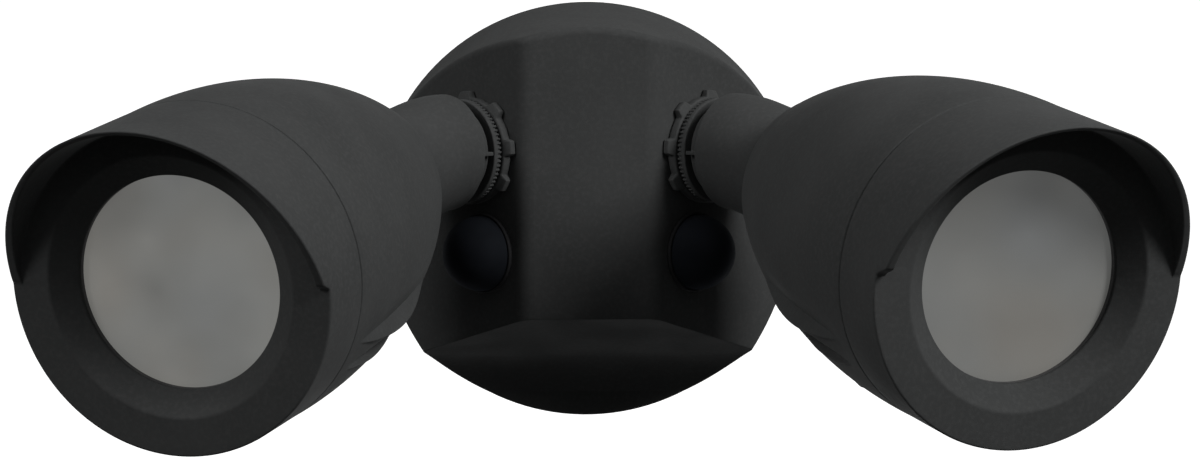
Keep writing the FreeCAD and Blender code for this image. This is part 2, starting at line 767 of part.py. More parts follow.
def build_arm(side, word):
    """Arm with a collar seat at the cheek, a bent tube and a ball that sits in the head."""
    build_collar(side, word)
    frame = swivel_frame(side)
    radius, edge, groove = size("arm_radius"), size("arm_edge"), size("groove_radius")
    stem, bore = size("stem_radius"), size("stem_bore_radius")
    neck = stem + size("spigot_wall")
    high = collar_low() + size("collar_height")
    top, start = groove_top(), bend_start()
    shoulder = collar_low() + size("seal_thickness")
    turned = revolve(f"arm_turned_{word}", [
        (0, shoulder), (neck, shoulder), (neck, high), (groove, high), (groove, top),
        (radius - edge, top), (radius, start), (0, start)])

    def index(sketch):
        near, half = groove - 1, size("rib_width") / 2
        closed_profile(sketch, [(near, -half), (radius - edge, -half), (radius - edge, half), (near, half)])

    pad(turned, f"index_rib_{word}", "XY_Plane", index, top - high, offset=high, symmetric=False)
    inward = FreeCAD.Rotation(FreeCAD.Vector(0, 0, 1), 0.0 if side < 0 else 180.0)
    turned.Placement = frame.multiply(FreeCAD.Placement(FreeCAD.Vector(), inward))
    tube = fused(f"arm_whole_{word}", [turned] + build_elbow(word, frame))

    knuckle = head_frame(side).multiply(FreeCAD.Placement(FreeCAD.Vector(0, 0, -VALUES["head_length"]),
                                                          FreeCAD.Rotation()))
    across = FreeCAD.Placement(FreeCAD.Vector(), FreeCAD.Rotation(FreeCAD.Vector(0, 1, 0), 90))
    grip = top + size("stem_grip")
    socket = rod(f"stem_socket_{word}", stem + size("running_clearance"), shoulder - 1, grip, frame)
    inner_end = size("arm_reach") - size("tongue_radius")
    passage = rod(f"wire_passage_{word}", bore, shoulder - 1, inner_end, frame)
    hole = rod(f"pivot_hole_{word}", "pivot_radius", -radius - 3, radius + 3, knuckle.multiply(across))
    doc.recompute()
    cuts = fused(f"arm_cuts_{word}", [build_tongue_slot(knuckle, word), hole, socket, passage])
    keep(cut(f"arm_slotted_{word}", tube, cuts), f"arm_{word}")

    end = -size("boss_depth") - size("washer_thickness") - size("nut_height") - 1
    pipe = revolve(f"stem_turned_{word}", [(bore, end), (stem, end), (stem, grip), (bore, grip)])
    keep(pipe, f"swivel_stem_{word}", frame)

    ring_low = size("spigot_height") + size("running_clearance")
    seal = revolve(f"seal_turned_{word}", [
        (stem, ring_low), (neck, ring_low), (neck, shoulder), (stem, shoulder)])
    keep(seal, f"swivel_seal_{word}", frame)
    under = -size("boss_depth") - size("washer_thickness")
    wide, over = size("boss_radius") - 0.5, -size("boss_depth") - size("running_clearance")
    washer = revolve(f"washer_turned_{word}", [(stem, under), (wide, under), (wide, over), (stem, over)])
    keep(washer, f"swivel_washer_{word}", frame)
    nut = new_body(f"nut_body_{word}")

    def hexagon(sketch):
        across = size("nut_width") / 2
        corner = across / cosine(size(30))
        turns = [math.radians(60 * k) for k in range(6)]
        closed_profile(sketch, [(corner * math.cos(turn), corner * math.sin(turn)) for turn in turns])
        circle(sketch, 0, 0, stem)

    base = under - size("nut_height")
    pad(nut, f"nut_pad_{word}", "XY_Plane", hexagon, "nut_height", offset=base, symmetric=False)
    keep(nut, f"swivel_nut_{word}", frame)
    half = size("pivot_length") / 2
    bolt = rod(f"pivot_{word}", "pivot_radius", -half, half, knuckle.multiply(across))
    keep(bolt, f"pivot_bolt_{word}")


def lens_face():
    """Depth of the lens's front behind the front face of the head."""
    return size("lens_recess") + size("lip_thickness") + size("lens_gasket_thickness")


def board_face():
    return lens_face() + size("lens_thickness") + size("reflector_depth")


def spreader_back():
    return board_face() + size("led_board_thickness") + size("spreader_thickness")


def build_shroud(frame, word):
    """Front part of the head, with the bezel, the visor and the sleeve over the rear housing."""
    wall = size("head_wall")
    front, seam = head_front_radius(), size("head_seam_radius")
    tip = size("visor_reach") + size("visor_step") + 0.5
    thick, back = size("bezel_thickness"), -lens_face() - size("lens_thickness")
    length = size("shroud_length")
    bezel, opening = size("bezel_radius"), size("lens_opening_radius")
    pocket_radius = size("lens_radius") + size("lens_fit")
    shelf = -size("lens_recess") - size("lip_thickness")
    body = revolve(f"shroud_turned_{word}", [
        (bezel, 0), (front - wall, 0), (front - wall - 0.3, tip), (front - 0.3, tip), (front, 0), (seam, -length),
        (seam - wall, -length), (front - wall, -thick), (bezel - 0.5, -thick), (pocket_radius + 1, back),
        (pocket_radius, back), (pocket_radius, shelf), (opening, shelf), (opening, -size("lens_recess"))])
    far = front + 20
    rise = size("visor_reach") / front
    step = size("visor_step")

    def below_visor(sketch):
        points = [(-far, 0), (-step / rise, 0), (far, step + rise * far), (far, far * 2), (-far, far * 2)]
        closed_profile(sketch, points)

    pocket(body, f"visor_cut_{word}", "YZ_Plane", below_visor)
    keep(body, f"front_shroud_{word}", frame)


def sleeve_radius(distance):
    """Outer radius of the rear housing's sleeve, which follows the tapered inside of the shroud."""
    share = (distance - size("bezel_thickness")) / (size("shroud_length") - size("bezel_thickness"))
    inside = head_front_radius() + size("shroud_taper") * share - size("head_wall")
    return inside - size("spigot_fit")


def housing_radius(distance):
    """Outer radius of the rear housing at a distance behind the front face."""
    start = size("shroud_length") + size("seam_gap")
    share = (distance - start) / (size("head_length") - 1 - start)
    straight = size("head_seam_radius") - (size("head_seam_radius") - size("head_rear_radius")) * share
    return straight + size("head_bulge") * 4 * share * (1 - share)


def build_rear_housing(frame, word):
    """Bullet shaped rear, with axial fins below and a ball socket with its tongue at the end."""
    wall, seam = size("head_wall"), size("head_seam_radius")
    length, rear = size("head_length"), size("head_rear_radius")
    start = size("shroud_length") + size("seam_gap")
    sleeve = sleeve_radius(start)
    lip = -start + size("spigot_length")
    tip = sleeve_radius(-lip)
    ledge = -spreader_back()
    ball = size("arm_radius") + size("socket_clearance")
    fall = size("arm_bend") - size("prow_lean") * sine(size("cheek_angle"))
    raised = size("tilt_up") - size("head_tilt")
    sideways = cosine(size("cheek_angle") - size("head_pan"))
    straight = cosine(fall) * cosine(raised) * sideways - sine(fall) * sine(raised)
    slanted = root(1 - straight * straight)
    seat_radius, seat_height = ball * straight, ball * slanted
    mouth = ball / straight
    crown = cap_rise(seat_radius, ball - seat_height)
    body = revolve(f"rear_turned_{word}", [
        (sleeve - wall, lip), (tip, lip), (sleeve, -start), (seam, -start, -size("head_bulge")),
        (rear, -length + 1), (rear - 1, -length), (mouth, -length), (seat_radius, -length + seat_height, crown),
        (0, -length + ball), (0, -length + ball + wall), (ball * 0.6, -length + ball + wall),
        (ball + wall, -length + ball * 0.8), (rear + 3.5, -length + ball + 4, size("head_bulge") * 0.82),
        (sleeve - wall - size("ledge_width"), ledge), (sleeve - wall, ledge)])

    knuckle = size("tongue_radius")
    base = -length + ball + wall / 2

    def tongue(sketch):
        closed_profile(sketch, [
            (-knuckle, base), (-knuckle, -length, knuckle), (knuckle, -length), (knuckle, base)])

    pad(body, f"tongue_{word}", "YZ_Plane", tongue, "tongue_thickness")

    def eye(sketch):
        circle(sketch, 0, -length, size("pivot_radius") + size("running_clearance"))

    pocket(body, f"tongue_eye_{word}", "YZ_Plane", eye, size("tongue_thickness") + 1)
    near, far, tall = size("fin_start"), size("fin_end"), size("fin_height")
    middle = (near + far) / 2

    def fin(sketch):
        roots = [(-(housing_radius(at) - 1), -at) for at in (near, middle, far)]
        tips = [(-(housing_radius(at) + tall), -at) for at in (far, middle, near + tall * 4)]
        closed_profile(sketch, roots + tips)

    blade = pad(body, f"fin_{word}", "YZ_Plane", fin, "fin_thickness")
    spread = size("fin_pitch") * (SIDE_FINS - 1)
    polar(body, f"fins_{word}_one_way", blade, SIDE_FINS, spread)
    polar(body, f"fins_{word}_other_way", blade, SIDE_FINS, spread, backward=True)
    keep(body, f"rear_housing_{word}", frame)


def build_lamp(frame, word):
    """Lens, gasket, reflector, light board and heat spreader, stacked behind the bezel."""
    front, thick = -lens_face(), size("lens_thickness")
    radius = size("lens_radius")
    keep(rod(f"lens_disc_{word}", radius, front - thick, front, frame), f"lens_{word}")
    inner, over = size("lens_opening_radius"), front + size("lens_gasket_thickness")
    gasket = revolve(f"lens_ring_{word}", [(inner, front), (radius, front), (radius, over), (inner, over)])
    keep(gasket, f"lens_gasket_{word}", frame)
    wall, throat, low = size("reflector_wall"), size("reflector_throat_radius"), -board_face()
    high = front - thick
    reflector = revolve(f"reflector_cone_{word}", [
        (throat, low), (throat + wall * 2, low), (throat + wall * 2, low + wall),
        (radius - wall, high - wall * 2), (radius, high - wall * 2), (radius, high), (radius - wall, high),
        (radius - wall * 1.5, high - wall)])
    keep(reflector, f"reflector_{word}", frame)
    plate = size("led_board_thickness")
    parts = [rod(f"board_disc_{word}", "led_board_radius", low - plate, low, frame)]
    chip, pitch = size("led_size"), size("led_pitch")
    for row in range(LEDS_PER_ROW):
        for column in range(LEDS_PER_ROW):
            x = pitch * (column - (LEDS_PER_ROW - 1) / 2) - chip / 2
            y = pitch * (row - (LEDS_PER_ROW - 1) / 2) - chip / 2
            parts.append(block(f"led_{word}_{row}_{column}", chip, chip, "led_height", (x, y, low), frame))
    doc.recompute()
    keep(fused(f"board_lit_{word}", parts), f"led_board_{word}")
    sleeve = size("head_seam_radius") - size("head_wall") * 2
    wide = sleeve - size("spigot_fit") - size("lens_fit")
    spreader = rod(f"spreader_disc_{word}", wide, -spreader_back(), low - plate, frame)
    keep(spreader, f"heat_spreader_{word}")


build_canopy()
build_strap()
build_electronics()
for side, word in ((-1, "left"), (1, "right")):
    build_sensor(side, word)
    build_lock_ring(side, word)
    build_arm(side, word)
    build_shroud(head_frame(side), word)
    build_rear_housing(head_frame(side), word)
    build_lamp(head_frame(side), word)

doc.recompute()
for item in doc.Objects:
    if "Invalid" in item.State or "Error" in item.State:
        raise RuntimeError(f"{item.Name} is {item.State}")
for piece in nodes:
    shape = piece.Shape
    if shape.isNull() or not shape.isValid():
        raise RuntimeError(f"{piece.Label} has no valid shape")
    shape.exportStep(f"parts/{piece.Label}.step")
    print(piece.Label, round(shape.Volume), len(shape.Solids), shape.BoundBox)
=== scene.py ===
import json
import math

import bmesh
import bpy
from mathutils import Matrix, Vector


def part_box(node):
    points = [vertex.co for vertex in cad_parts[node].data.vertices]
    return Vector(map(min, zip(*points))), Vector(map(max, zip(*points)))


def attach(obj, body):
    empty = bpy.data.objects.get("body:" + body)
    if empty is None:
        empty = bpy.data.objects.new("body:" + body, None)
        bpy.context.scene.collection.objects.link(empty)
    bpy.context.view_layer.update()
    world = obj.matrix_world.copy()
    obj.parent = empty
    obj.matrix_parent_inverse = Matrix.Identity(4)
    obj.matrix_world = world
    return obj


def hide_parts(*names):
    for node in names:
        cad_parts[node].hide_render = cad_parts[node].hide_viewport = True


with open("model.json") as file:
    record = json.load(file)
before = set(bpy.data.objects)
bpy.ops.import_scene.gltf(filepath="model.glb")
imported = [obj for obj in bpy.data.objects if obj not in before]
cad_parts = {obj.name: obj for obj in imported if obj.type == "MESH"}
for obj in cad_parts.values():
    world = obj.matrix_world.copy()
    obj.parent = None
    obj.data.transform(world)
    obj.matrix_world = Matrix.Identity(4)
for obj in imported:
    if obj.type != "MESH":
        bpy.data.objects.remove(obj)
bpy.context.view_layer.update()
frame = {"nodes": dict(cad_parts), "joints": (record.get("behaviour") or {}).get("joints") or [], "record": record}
scene = bpy.context.scene
nodes = frame["nodes"]
SIDES = ((-1, "left"), (1, "right"))
SLOTS = {part["node"]: part["material_slot"] for part in frame["record"]["subparts"]}
MM_PER_M = 1000
TURN = 2 * math.pi

# Camera, fitted to the outlines of the canopy and the lens rings in the photograph. The middle of the picture
# lies right of and below the origin by a few of the photograph's pixels.
PHOTO_WIDE_PX = 1200
FOCAL_PX = 3118.0
AIM_RIGHT_PX, AIM_DOWN_PX = 14, 21
CAMERA_AWAY = 0.9
CAMERA_AZIMUTH, CAMERA_ELEVATION = math.radians(-1.2), math.radians(12.5)
SENSOR_WIDE_MM = 36

# Studio, in metres: two square lamps in front and above, with their power in watts, and a floor far below.
# The floor's bounce is its paleness to the light that falls on it, and its glow is what the camera sees.
LAMPS = (("key", (0.9, -0.62, 0.8), 19), ("side", (-0.9, -0.62, 0.7), 6))
LAMP_TARGET = Vector((0, -0.1, 0))
LAMP_WIDE = 0.4
FLOOR_HALF, FLOOR_LEVEL = 12.0, -0.4
FLOOR_BOUNCE, FLOOR_GLOW = 0.025, 0.8
SKY_SIDE, SKY_TOP, SKY_POWER = 0.02, 0.54, 1.2


def direction(azimuth, elevation):
    """Unit vector at an angle clockwise from straight back, seen from above, and at an angle upwards."""
    return Vector((math.sin(azimuth) * math.cos(elevation), math.cos(azimuth) * math.cos(elevation),
                   math.sin(elevation)))


def put_aimed(thing, place, ahead):
    """Links a camera or lamp into the scene at a place, looking along a direction."""
    thing.location = place
    thing.rotation_mode = "QUATERNION"
    thing.rotation_quaternion = ahead.to_track_quat("-Z", "Y")
    scene.collection.objects.link(thing)


def make_camera():
    """Camera at the photograph's viewing angle, slightly above the light and in front of it."""
    data = bpy.data.cameras.new("camera")
    data.sensor_fit = "HORIZONTAL"
    data.sensor_width = SENSOR_WIDE_MM
    data.lens = SENSOR_WIDE_MM * FOCAL_PX / PHOTO_WIDE_PX
    camera = bpy.data.objects.new("camera", data)
    to_origin = direction(-CAMERA_AZIMUTH, -CAMERA_ELEVATION)
    ahead = direction(math.atan(AIM_RIGHT_PX / FOCAL_PX) - CAMERA_AZIMUTH,
                      -math.atan(AIM_DOWN_PX / FOCAL_PX) - CAMERA_ELEVATION)
    put_aimed(camera, -CAMERA_AWAY * to_origin, ahead)
    scene.camera = camera


def make_lamps():
    for name, place, power in LAMPS:
        data = bpy.data.lights.new(name, "AREA")
        data.shape = "SQUARE"
        data.size = LAMP_WIDE
        data.energy = power
        put_aimed(bpy.data.objects.new(name, data), place, LAMP_TARGET - Vector(place))


class Graph:
    """Node tree of one material or world, with short calls to add and join nodes."""

    # Nearly all values of a noise texture lie between these.
    NOISE_LOW, NOISE_HIGH = 0.3, 0.7

    def __init__(self, owner):
        owner.use_nodes = True
        self.tree = owner.node_tree
        self.tree.nodes.clear()

    def add(self, kind, inputs=None, **settings):
        node = self.tree.nodes.new(kind)
        for key, value in settings.items():
            setattr(node, key, value)
        for key, value in (inputs or {}).items():
            self.put(value, node.inputs[key])
        return node

    def put(self, value, socket):
        """Joins an output to a socket, or sets the socket to a value."""
        if isinstance(value, bpy.types.NodeSocket):
            self.tree.links.new(value, socket)
        elif isinstance(value, (tuple, list)) and len(value) == 3 and socket.type == "RGBA":
            socket.default_value = (*value, 1)
        else:
            socket.default_value = value

    def math(self, operation, first, second):
        return self.add("ShaderNodeMath", {0: first, 1: second}, operation=operation).outputs[0]

    def noise(self, where, scale, detail=3.0, rough=0.5):
        inputs = {"Vector": where, "Scale": scale, "Detail": detail, "Roughness": rough}
        return self.add("ShaderNodeTexNoise", inputs).outputs["Fac"]

    def ramp(self, value, *stops):
        """Colour that follows a value through stops, each a place and a colour or a shade of grey."""
        node = self.add("ShaderNodeValToRGB", {"Fac": value})
        marks = node.color_ramp.elements
        while len(marks) < len(stops):
            marks.new(0.5)
        for mark, (at, colour) in zip(marks, stops):
            mark.position = at
            mark.color = (*colour, 1) if isinstance(colour, tuple) else (colour, colour, colour, 1)
        return node.outputs["Color"]

    def spread(self, value, low, high, start=0.0, end=1.0):
        """Number from low to high as a value goes from start to end."""
        inputs = {"Value": value, "From Min": start, "From Max": end, "To Min": low, "To Max": high}
        return self.add("ShaderNodeMapRange", inputs).outputs["Result"]

    def mottle(self, where, scale, dark, light, detail=3, rough=0.5):
        """Colour that wanders between two tones, with so many clouds to the metre."""
        value = self.noise(where, scale, detail, rough)
        return self.ramp(value, (self.NOISE_LOW, dark), (self.NOISE_HIGH, light))

    def wander(self, where, scale, low, high, detail=2, rough=0.5):
        """Number that wanders between low and high."""
        value = self.noise(where, scale, detail, rough)
        return self.spread(value, low, high, self.NOISE_LOW, self.NOISE_HIGH)

    def mix(self, share, first, second, blend="MIX"):
        node = self.add("ShaderNodeMix", data_type="RGBA", blend_type=blend)
        self.put(share, node.inputs["Factor"])
        for value, socket in ((first, node.inputs[6]), (second, node.inputs[7])):
            self.put(value, socket)
        return node.outputs[2]

    def bump(self, height, distance, **inputs):
        inputs = {"Height": height, "Distance": distance, **inputs}
        return self.add("ShaderNodeBump", inputs).outputs["Normal"]

    def grain(self, where, scale, distance, detail=2, rough=0.5):
        """Normal of a finely grained surface, with grains of a height in metres."""
        return self.bump(self.noise(where, scale, detail, rough), distance)

    def surface(self, **inputs):
        shader = self.add("ShaderNodeBsdfPrincipled", {key.replace("_", " "): v for key, v in inputs.items()})
        out = self.add("ShaderNodeOutputMaterial")
        self.tree.links.new(shader.outputs["BSDF"], out.inputs["Surface"])

    def shown(self):
        """1 for the rays that show the background: to the camera, in gloss and through glass."""
        seen = self.add("ShaderNodeLightPath").outputs
        through = self.math("MAXIMUM", seen["Is Glossy Ray"], seen["Is Transmission Ray"])
        return self.math("MAXIMUM", seen["Is Camera Ray"], through)


def new_material(name):
    material = bpy.data.materials.new(name)
    graph = Graph(material)
    where = graph.add("ShaderNodeTexCoord").outputs["Object"]
    return material, graph, where


def paler(colour, times):
    return tuple(times * part for part in colour)


def edge_mask(graph, rounded_normal):
    """Near 1 along edges, where the rounded normal leaves the true one, and 0 on flat faces."""
    edge_dot = 0.9
    true = graph.add("ShaderNodeNewGeometry").outputs["Normal"]
    dot = graph.add("ShaderNodeVectorMath", {0: rounded_normal, 1: true}, operation="DOT_PRODUCT")
    return graph.spread(dot.outputs["Value"], 1.0, 0.0, edge_dot, 1.0)


def moulded_plastic(name, dark, light, rough, edge_wear_and_highlight=0.5, edge=0.0005):
    """Moulded shell plastic with an eroded grain, faint clouds, pale specks and paler edges, partly rubbed wear
    and partly a painted highlight.
    """
    speck_paler, edge_paler = 1.35, 1.7
    rough_swing, grain_height = 0.06, 0.00003
    material, graph, where = new_material(name)
    cloud = graph.noise(where, 28, 4, 0.6)
    base = graph.ramp(cloud, (graph.NOISE_LOW, dark), (graph.NOISE_HIGH, light))
    specks = graph.spread(graph.noise(where, 900, 2), 0.0, 0.35, 0.45, 0.75)
    base = graph.mix(specks, base, paler(light, speck_paler))
    rounded_normal = graph.add("ShaderNodeBevel", {"Radius": edge}, samples=6).outputs["Normal"]
    patchy = graph.spread(cloud, 0.2, 1.0, graph.NOISE_LOW, graph.NOISE_HIGH)
    # Paler edges: partly rubbed wear, partly a painted edge highlight.
    rubbed_and_highlit = graph.math("MULTIPLY", edge_mask(graph, rounded_normal), patchy)
    base = graph.mix(graph.math("MULTIPLY", rubbed_and_highlit, edge_wear_and_highlight), base, paler(light, edge_paler))
    roughness = graph.wander(where, 60, rough - rough_swing, rough + rough_swing, 3)
    normal = graph.bump(graph.noise(where, 2600, 3, 0.6), grain_height, Normal=rounded_normal)
    graph.surface(Base_Color=base, Roughness=roughness, Normal=normal, Specular_IOR_Level=0.2, IOR=1.1)
    return material


def rubber(name):
    """Black rubber with grey dust in patches."""
    material, graph, where = new_material(name)
    black, dust = (0.012, 0.012, 0.013), (0.035, 0.034, 0.033)
    base = graph.ramp(graph.noise(where, 160, 5, 0.7), (0.35, black), (0.75, dust))
    graph.surface(Base_Color=base, Roughness=graph.wander(where, 90, 0.78, 0.92),
                  Normal=graph.grain(where, 1500, 0.00004))
    return material


def plated_steel(name):
    """Zinc plated steel, with faint spangle."""
    material, graph, where = new_material(name)
    spangle = graph.add("ShaderNodeTexVoronoi", {"Vector": where, "Scale": 160.0}).outputs["Color"]
    base = graph.mottle(where, 45, (0.42, 0.42, 0.43), (0.56, 0.55, 0.53), 4)
    graph.surface(Base_Color=graph.mix(0.12, base, spangle, "MULTIPLY"), Metallic=1.0,
                  Roughness=graph.wander(where, 240, 0.28, 0.46, 4),
                  Normal=graph.grain(where, 1200, 0.00002, 3))
    return material


def cast_aluminium(name):
    material, graph, where = new_material(name)
    graph.surface(Base_Color=graph.mottle(where, 70, (0.52, 0.53, 0.54), (0.66, 0.66, 0.66), 5, 0.65),
                  Metallic=1.0, Roughness=graph.wander(where, 300, 0.4, 0.58, 4),
                  Normal=graph.grain(where, 900, 0.00004, 4))
    return material


def can_metal(name):
    """Bright, slightly yellow sheet metal of the infrared sensors' cans."""
    material, graph, where = new_material(name)
    graph.surface(Base_Color=graph.mottle(where, 200, (0.5, 0.48, 0.42), (0.62, 0.6, 0.55)), Metallic=1.0,
                  Roughness=graph.wander(where, 300, 0.2, 0.32), Normal=graph.grain(where, 1500, 0.00001))
    return material


def white_reflector(name):
    material, graph, where = new_material(name)
    graph.surface(Base_Color=graph.mottle(where, 50, (0.72, 0.72, 0.7), (0.8, 0.8, 0.79)),
                  Roughness=graph.wander(where, 140, 0.25, 0.4), Normal=graph.grain(where, 700, 0.00002))
    return material


def circuit_board(name):
    """Green solder mask with the weave of the glass cloth below it."""
    material, graph, where = new_material(name)
    weave = graph.add("ShaderNodeTexChecker", {"Vector": where, "Scale": 1400.0}).outputs["Fac"]
    graph.surface(Base_Color=graph.mottle(where, 120, (0.01, 0.07, 0.03), (0.02, 0.11, 0.05)),
                  Roughness=graph.wander(where, 80, 0.25, 0.38),
                  Normal=graph.bump(weave, 0.00001, Strength=0.4))
    return material


def lamp_board(name):
    """White solder mask of the board that carries the lamp's chips."""
    material, graph, where = new_material(name)
    graph.surface(Base_Color=graph.mottle(where, 120, (0.62, 0.61, 0.57), (0.72, 0.71, 0.67)),
                  Roughness=graph.wander(where, 80, 0.3, 0.45), Normal=graph.grain(where, 1400, 0.00001))
    return material


def sensor_window(name):
    """Nearly black polyethylene dome, matt and slightly blue."""
    material, graph, where = new_material(name)
    graph.surface(Base_Color=graph.mottle(where, 60, (0.0045, 0.005, 0.0062), (0.0075, 0.0085, 0.0105)),
                  Roughness=graph.wander(where, 220, 0.56, 0.68, 3), Specular_IOR_Level=0.02, IOR=1.2,
                  Normal=graph.grain(where, 900, 0.00001))
    return material


def frosted_lens(name, glow, bright, dull):
    """Frosted acrylic with a weak glow, a painted light that fills in the visor's shade on it, with warm and cool
    patches, a painted bright spot and a painted dull spot.
    """
    spot_radius, diffuse_share = 0.013, 0.1
    cool, plain, warm = (0.94, 0.97, 0.97), (0.97, 0.98, 0.94), (1.0, 0.95, 0.86)
    material, graph, where = new_material(name)
    tone = graph.ramp(graph.noise(where, 24, 2, 0.4), (0.3, cool), (0.5, plain), (0.72, warm))
    strength = graph.wander(where, 45, 0.84, 1.16, 2, 0.4)
    for spot, change in ((bright, 0.3), (dull, -0.2)):
        away = graph.add("ShaderNodeVectorMath", {0: where, 1: spot}, operation="DISTANCE").outputs["Value"]
        near = graph.spread(away, 1.0, 0.0, 0.0, spot_radius)
        soft = graph.math("MULTIPLY", near, near)
        strength = graph.math("ADD", strength, graph.math("MULTIPLY", soft, change))
    # The glow is painted light over the visor's shade, and the spots are a painted highlight and a painted dull
    # patch.
    graph.surface(Base_Color=graph.mix(1 - diffuse_share, tone, (0, 0, 0)),
                  Roughness=graph.wander(where, 130, 0.42, 0.55), Specular_IOR_Level=0.2, IOR=1.49,
                  Normal=graph.grain(where, 3200, 0.00002, 3, 0.6), Emission_Color=tone,
                  Emission_Strength=graph.math("MULTIPLY", strength, glow))
    return material


PLASTICS = {
    "body_plastic": dict(dark=(0.033, 0.034, 0.034), light=(0.040, 0.041, 0.041), rough=0.72),
    "ring_plastic": dict(dark=(0.034, 0.035, 0.035), light=(0.042, 0.043, 0.043), rough=0.6, edge_wear_and_highlight=0.8,
                         edge=0.00025),
    "nut_plastic": dict(dark=(0.030, 0.031, 0.032), light=(0.040, 0.040, 0.041), rough=0.5),
    "dark_plastic": dict(dark=(0.009, 0.009, 0.0095), light=(0.013, 0.013, 0.0135), rough=0.7, edge_wear_and_highlight=0.2),
    "driver_case": dict(dark=(0.5, 0.5, 0.49), light=(0.6, 0.6, 0.59), rough=0.5),
}
FINISHES = {
    "black_rubber": rubber,
    "zinc_steel": plated_steel,
    "spreader_aluminium": cast_aluminium,
    "sensor_can": can_metal,
    "reflector_white": white_reflector,
    "circuit_board": circuit_board,
    "lamp_board": lamp_board,
    "sensor_plastic": sensor_window,
}
MATERIALS = {name: moulded_plastic(name, **look) for name, look in PLASTICS.items()}
MATERIALS.update({name: finish(name) for name, finish in FINISHES.items()})

# Sizes of the built pieces, in millimetres in the frame of a head or of a swivel. They are those of the CAD
# solids, but for the visor's ends, the ledges, the lock ring and the collar, which follow the photograph.
# Head: radii round its axis, and depths behind its front face as negative numbers. Its lens lies deeper.
HEAD_PAN, HEAD_TILT = math.radians(19.9), math.radians(0.4)
LENS_DEPTH = 7.2
WALL = 2.6
FRONT_RADIUS, SEAM_RADIUS = 41.2, 41.4
SLEEVE_RADIUS, SLEEVE_FRONT, SLEEVE_BACK = 38.7, -10.5, -30.4
SEAM_FRONT, SEAM_BACK = -18.0, -18.5
HEAD_LENGTH = 112.0
BALL_RADIUS, MOUTH_RADIUS = 16.3, 13.4

# Visor: cut by a plane that rises over the face. Its ends are the heights over the middle where it stops on
# the inner and on the outer flank, and the distance within which it runs out. The right head's inner end is
# the higher one in the photograph.
VISOR_STEP, VISOR_TOP = 1.0, 18.5
VISOR_ENDS = {"left": (3.6, -2.0, 2.2), "right": (6.8, -2.0, 3.0)}

# Rear housing: its side is an arc, with ledges below the middle of each flank and blades on its underside.
# A ledge has the height of its top, its thickness, the depths where it starts and ends, and how far above it
# the flank is drawn in.
REAR_START, REAR_END, REAR_RISE = Vector((SEAM_RADIUS, SEAM_BACK)), Vector((25.3, -111.0)), 5.1
LEDGES = (dict(top=-15.8, thick=3.6, near=24.0, far=85.0, draw=5.0, steps_above=64),
          dict(top=-23.0, thick=1.2, near=24.0, far=56.0, draw=2.0, steps_above=6))
LEDGE_OUT, LEDGE_EDGE, LEDGE_TAPER, HOLLOW_DEEP, STEPS_BELOW = 0.5, 0.3, 0.7, 1.6, 40
BLADE_LEANS = (-22, 0, 22)
BLADE_START, BLADE_LENGTH, BLADE_TALL = 52.0, 50.0, 2.4
TONGUE_RADIUS, TONGUE_ROOT, TONGUE_HALF = 7.0, -94.4, 3.2

# Swivel: radii round its axis and heights over the cheek. The lugs' angles go round from the top in degrees.
# A lug falls off over its flank to both sides, and its upper edge is cut away by its slope.
RING_BORE, RING_RADIUS, LUG_RADIUS, RING_FOOT, RING_TOP = 10.8, 14.8, 16.6, 0.3, 2.9
LUG_ANGLES = (-118, -79, -35, 11, 57, 103, 149)
LUG_HALF, LUG_FLANK, LUG_SLOPE, RING_STEPS = 2.5, 0.9, 0.6, 720
COLLAR_BORE, COLLAR_RADIUS, COLLAR_FOOT, COLLAR_TOP = 10.9, 14.4, 3.5, 6.1
TEETH, TOOTH_DEEP, TOOTH_TOP, TOOTH_STEPS = 72, 0.6, 4.9, 6

# Painted bright and dull spot of each lens, in the head's frame, and how strongly it glows: a painted light that
# fills in the visor's shade, stronger on the left head.
LENS_SPOTS = {"left": ((-9, 9.4, -7.2), (-7, -3, -7.2)), "right": ((3.5, 10, -7.2), (5, 1, -7.2))}
LENS_GLOW = {"left": 0.12, "right": 0.07}


def upright_frame(origin, forward):
    """Frame at a point, with Z along a direction and Y as near to straight up as that leaves it."""
    up = (Vector((0, 0, 1)) - forward * forward.z).normalized()
    axes = Matrix((up.cross(forward), up, forward)).transposed().to_4x4()
    return Matrix.Translation(origin) @ axes


def head_frame(side, word):
    """Middle of the front face of a head, with Z forward and Y up, read from the lens that sits in it."""
    low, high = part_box(f"lens_{word}")
    centre = (low + high) / 2
    forward = -direction(-side * HEAD_PAN, HEAD_TILT)
    reach = max((vertex.co - centre).dot(forward) for vertex in nodes[f"lens_{word}"].data.vertices)
    return upright_frame(centre + forward * (reach + LENS_DEPTH / MM_PER_M), forward)


def swivel_frame(word):
    """Foot of the swivel on its cheek, with Z out along its axis and Y up, read from the joint."""
    joint = next(item for item in frame["joints"] if item["name"] == f"{word}_arm_swivel")
    return upright_frame(Vector(joint["pos_m"]), Vector(joint["axis"]).normalized())


def lit_lens(side, word):
    place = head_frame(side, word)
    bright, dull = (tuple(place @ (Vector(spot) / MM_PER_M)) for spot in LENS_SPOTS[word])
    return frosted_lens(f"lit_lens_{word}", LENS_GLOW[word], bright, dull)


def dress(thing, material):
    if not thing.data.materials:
        thing.data.materials.append(material)
    for slot in thing.material_slots:
        slot.link = "DATA"
        slot.material = material


def dress_nodes():
    """Gives each CAD node the material of its slot, or a look of its own: a lit lens, a white lamp board, and
    nearly black plastic on the sensors' bezels as painted shade.
    """
    own = {}
    for side, word in SIDES:
        own[f"lens_{word}"] = lit_lens(side, word)
        own[f"led_board_{word}"] = MATERIALS["lamp_board"]
        # Nearly black plastic on the bezels is painted shade: they lie in the shadow below the arms.
        own[f"sensor_bezel_{word}"] = MATERIALS["dark_plastic"]
    for node, slot in SLOTS.items():
        dress(nodes[node], own[node] if node in own else MATERIALS[slot])


